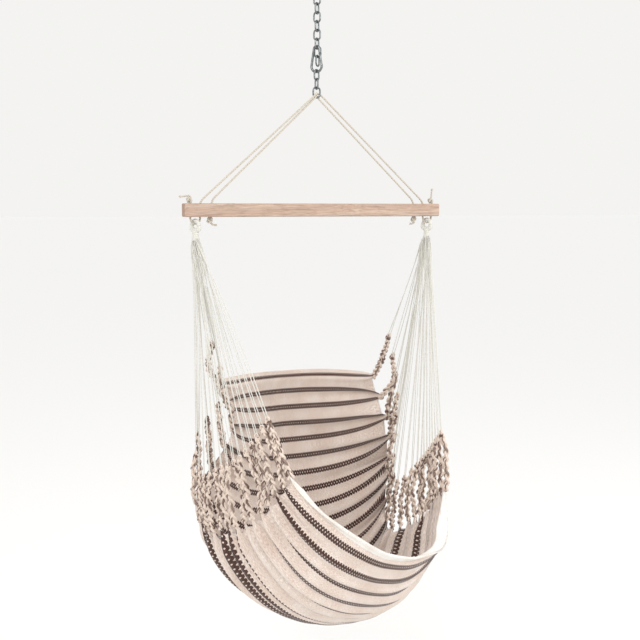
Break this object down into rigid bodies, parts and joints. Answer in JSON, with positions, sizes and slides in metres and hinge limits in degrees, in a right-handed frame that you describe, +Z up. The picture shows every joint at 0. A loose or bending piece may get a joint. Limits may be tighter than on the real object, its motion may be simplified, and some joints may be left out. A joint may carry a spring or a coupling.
{
  "type": "hanging hammock chair",
  "caption": "Hanging hammock chair: woven sling on plaited braids and thin cords under a square wooden spreader bar, two ropes, snap hook, chain and ceiling plate.",
  "frame": {"origin": "centre of the ceiling plate's top face, where it bears on the ceiling or beam", "axes": "+Z up, X along the spreader bar, the sitter faces -Y"},
  "size_m": [0.8151, 0.8279, 1.8958],
  "materials": {
    "zinc": "dull zinc plating",
    "bar_wood": "planed, unvarnished",
    "rope": "laid natural fibre",
    "cotton_cord": "soft twisted cotton",
    "braid": "plaited cream and brown yarn",
    "striped_cloth": "coarse woven cotton with brown stripes",
    "hem": "thick woven edge"
  },
  "bodies": {
    "ceiling": {"ceiling_plate": "zinc", "pad_eye_bow": "zinc"},
    "link_1": {"chain_link_1": "zinc"},
    "link_2": {"chain_link_2": "zinc"},
    "link_3": {"chain_link_3": "zinc"},
    "link_4": {"chain_link_4": "zinc"},
    "link_5": {"chain_link_5": "zinc"},
    "link_6": {"chain_link_6": "zinc"},
    "link_7": {"chain_link_7": "zinc"},
    "tail_1": {"tail_link_1": "zinc"},
    "tail_2": {"tail_link_2": "zinc"},
    "hook": {"snap_hook_body": "zinc"},
    "gate": {"snap_hook_gate": "zinc", "snap_hook_pin": "zinc"},
    "lower_1": {"lower_link_1": "zinc"},
    "lower_2": {"lower_link_2": "zinc"},
    "lower_3": {"lower_link_3": "zinc"},
    "hanger": {"spreader_bar": "bar_wood", "rope_outer": "rope", "rope_inner": "rope", "knot_top_left": "rope", "knot_top_right": "rope", "knot_under_left": "rope", "knot_under_right": "rope"},
    "sling": {"back_hem": "hem", "braids_left_1": "braid", "braids_left_2": "braid", "braids_left_3": "braid", "braids_left_4": "braid", "braids_left_5": "braid", "braids_right_1": "braid", "braids_right_2": "braid", "braids_right_3": "braid", "braids_right_4": "braid", "braids_right_5": "braid", "cords_left": "cotton_cord", "cords_right": "cotton_cord", "eye_loop_left": "cotton_cord", "eye_loop_right": "cotton_cord", "eye_whipping_left": "cotton_cord", "eye_whipping_right": "cotton_cord", "front_hem": "hem", "sling_cloth": "striped_cloth"}
  },
  "joints": [
    {"name": "link_1_swing", "type": "hinge", "parent": "ceiling", "child": "link_1", "pos_m": [0, 0, -0.024], "axis": [0.6428, -0.766, 0], "range_deg": [-10, 10]},
    {"name": "link_2_swing", "type": "hinge", "parent": "link_1", "child": "link_2", "pos_m": [0, 0, -0.0482], "axis": [0.7431, 0.6691, 0], "range_deg": [-10, 10]},
    {"name": "link_3_swing", "type": "hinge", "parent": "link_2", "child": "link_3", "pos_m": [0, 0, -0.0729], "axis": [0.6428, -0.766, 0], "range_deg": [-10, 10]},
    {"name": "link_4_swing", "type": "hinge", "parent": "link_3", "child": "link_4", "pos_m": [0, 0, -0.0976], "axis": [0.7431, 0.6691, 0], "range_deg": [-10, 10]},
    {"name": "link_5_swing", "type": "hinge", "parent": "link_4", "child": "link_5", "pos_m": [0, 0, -0.1223], "axis": [0.6428, -0.766, 0], "range_deg": [-10, 10]},
    {"name": "link_6_swing", "type": "hinge", "parent": "link_5", "child": "link_6", "pos_m": [0, 0, -0.147], "axis": [0.7431, 0.6691, 0], "range_deg": [-10, 10]},
    {"name": "link_7_swing", "type": "hinge", "parent": "link_6", "child": "link_7", "pos_m": [0, 0, -0.1717], "axis": [0.6428, -0.766, 0], "range_deg": [-10, 10]},
    {"name": "tail_1_swing", "type": "hinge", "parent": "link_7", "child": "tail_1", "pos_m": [0, 0, -0.1964], "axis": [0.7431, 0.6691, 0], "range_deg": [-6, 6]},
    {"name": "tail_2_swing", "type": "hinge", "parent": "tail_1", "child": "tail_2", "pos_m": [0.00267, 0.00241, -0.21942], "axis": [0.6691, -0.7431, 0], "range_deg": [-6, 6]},
    {"name": "hook_swing", "type": "hinge", "parent": "link_7", "child": "hook", "pos_m": [0, 0, -0.1964], "axis": [0.7431, 0.6691, 0], "range_deg": [-8, 8]},
    {"name": "gate_hinge", "type": "hinge", "parent": "hook", "child": "gate", "pos_m": [0.00514, -0.01004, -0.2107], "axis": [-0.7431, -0.6691, 0], "range_deg": [-20, 0], "stiffness_Nm_per_rad": 0.05, "springref_deg": 34.38},
    {"name": "lower_1_swing", "type": "hinge", "parent": "hook", "child": "lower_1", "pos_m": [-0.00215, -0.00194, -0.2617], "axis": [0.6691, -0.7431, 0], "range_deg": [-10, 10]},
    {"name": "lower_2_swing", "type": "hinge", "parent": "lower_1", "child": "lower_2", "pos_m": [-0.00215, -0.00194, -0.2854], "axis": [0.866, 0.5, 0], "range_deg": [-10, 10]},
    {"name": "lower_3_swing", "type": "hinge", "parent": "lower_2", "child": "lower_3", "pos_m": [-0.00215, -0.00194, -0.3101], "axis": [0, 1, 0], "range_deg": [-10, 10]},
    {"name": "hanger_swing", "type": "hinge", "parent": "lower_3", "child": "hanger", "pos_m": [-0.00215, -0.00194, -0.3348], "axis": [1, 0, 0], "range_deg": [-10, 10]},
    {"name": "sling_swing", "type": "hinge", "parent": "hanger", "child": "sling", "pos_m": [-0.00215, -0.00194, -0.6971], "axis": [1, 0, 0], "range_deg": [-15, 15]}
  ]
}
